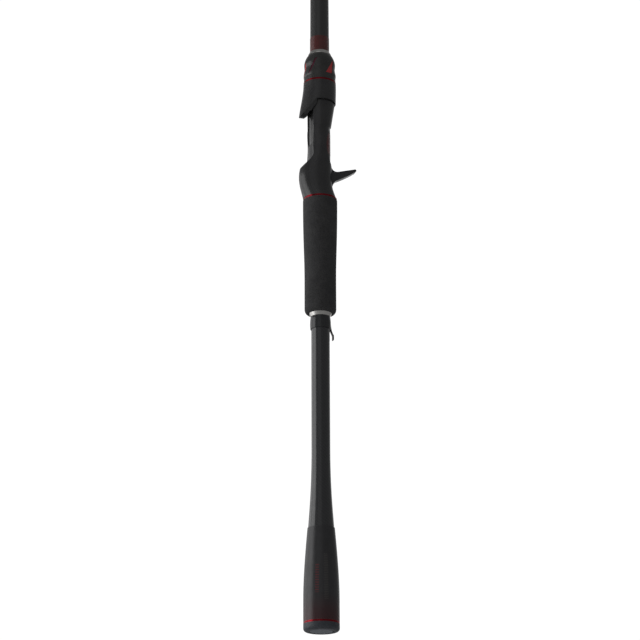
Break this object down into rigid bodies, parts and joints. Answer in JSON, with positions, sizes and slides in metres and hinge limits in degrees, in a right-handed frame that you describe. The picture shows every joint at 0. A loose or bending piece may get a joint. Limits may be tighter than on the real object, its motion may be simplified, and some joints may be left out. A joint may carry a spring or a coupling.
{
  "type": "fishing rod",
  "caption": "Casting rod for lure fishing: long slim handle, foam grip, trigger reel seat with a screw-down hood for a clamped reel, and a tapered blank with line guides and a tip ring.",
  "frame": {"origin": "centre of the butt's end face", "axes": "+Z along the rod from the butt to the tip; -X is the side of the reel and the line guides; +X is the side of the trigger"},
  "size_m": [0.062, 0.0274, 2.205],
  "materials": {
    "rubber_dark": "matt moulded rubber",
    "disc_grey": "satin, plain",
    "red_anodised": "bright red anodised",
    "sleeve_black": "satin black",
    "gloss_black": "clear coated carbon tube",
    "carbon": "sanded carbon",
    "keeper_black": "gloss black",
    "silver": "polished",
    "foam_black": "closed cell foam",
    "arbor": "plain",
    "seat_black": "satin gloss black",
    "cushion": "soft pad",
    "winding_red": "dark red thread under clear coat",
    "barrel_black": "moulded black",
    "hood_black": "satin gloss black",
    "spring_steel": "spring wire",
    "nut_black": "satin black",
    "inlay_red": "metallic red",
    "blank_black": "semi gloss coated carbon",
    "guide_metal": "black coated steel",
    "ceramic": "polished dark ceramic",
    "winding_black": "thread under clear epoxy"
  },
  "bodies": {
    "rod": {"butt_cap": "rubber_dark", "butt_cap_disc": "disc_grey", "butt_ring": "red_anodised", "butt_sleeve": "sleeve_black", "handle_tube": "gloss_black", "joint_spigot": "carbon", "hook_keeper": "keeper_black", "lower_winding_check": "silver", "rear_grip": "foam_black", "grip_arbor": "arbor", "seat_ring": "red_anodised", "reel_seat_body": "seat_black", "seat_arbor": "arbor", "fixed_hood_cushion": "cushion", "window_winding": "winding_red", "thread_barrel": "barrel_black", "upper_winding_check": "silver", "base_winding": "winding_red", "blank": "blank_black", "guide_frame_1": "guide_metal", "guide_ring_1": "ceramic", "guide_windings_1": "winding_black", "guide_frame_2": "guide_metal", "guide_ring_2": "ceramic", "guide_windings_2": "winding_black", "guide_frame_3": "guide_metal", "guide_ring_3": "ceramic", "guide_windings_3": "winding_black", "guide_frame_4": "guide_metal", "guide_ring_4": "ceramic", "guide_windings_4": "winding_black", "guide_frame_5": "guide_metal", "guide_ring_5": "ceramic", "guide_windings_5": "winding_black", "guide_frame_6": "guide_metal", "guide_ring_6": "ceramic", "guide_windings_6": "winding_black", "guide_frame_7": "guide_metal", "guide_ring_7": "ceramic", "guide_windings_7": "winding_black", "guide_frame_8": "guide_metal", "guide_ring_8": "ceramic", "guide_windings_8": "winding_black", "tip_top_frame": "guide_metal", "tip_top_ring": "ceramic", "tip_top_winding": "winding_black"},
    "hood": {"movable_hood": "hood_black", "movable_hood_cushion": "cushion", "hood_ring": "red_anodised"},
    "nut": {"lock_nut": "nut_black", "lock_nut_inlays": "inlay_red", "nut_snap_ring": "spring_steel"}
  },
  "joints": [
    {"name": "hood_slide", "type": "slide", "parent": "rod", "child": "hood", "axis": [0, 0, -1], "range_m": [0, 0.009]},
    {"name": "nut_turn", "type": "hinge", "parent": "hood", "child": "nut", "pos_m": [0, 0, 0.46], "axis": [0, 0, -1], "range_deg": [0, 1620]}
  ],
  "couplings": [
    {"joint": "nut_turn", "follows": "hood_slide", "rad_per_m": 3141.6}
  ]
}
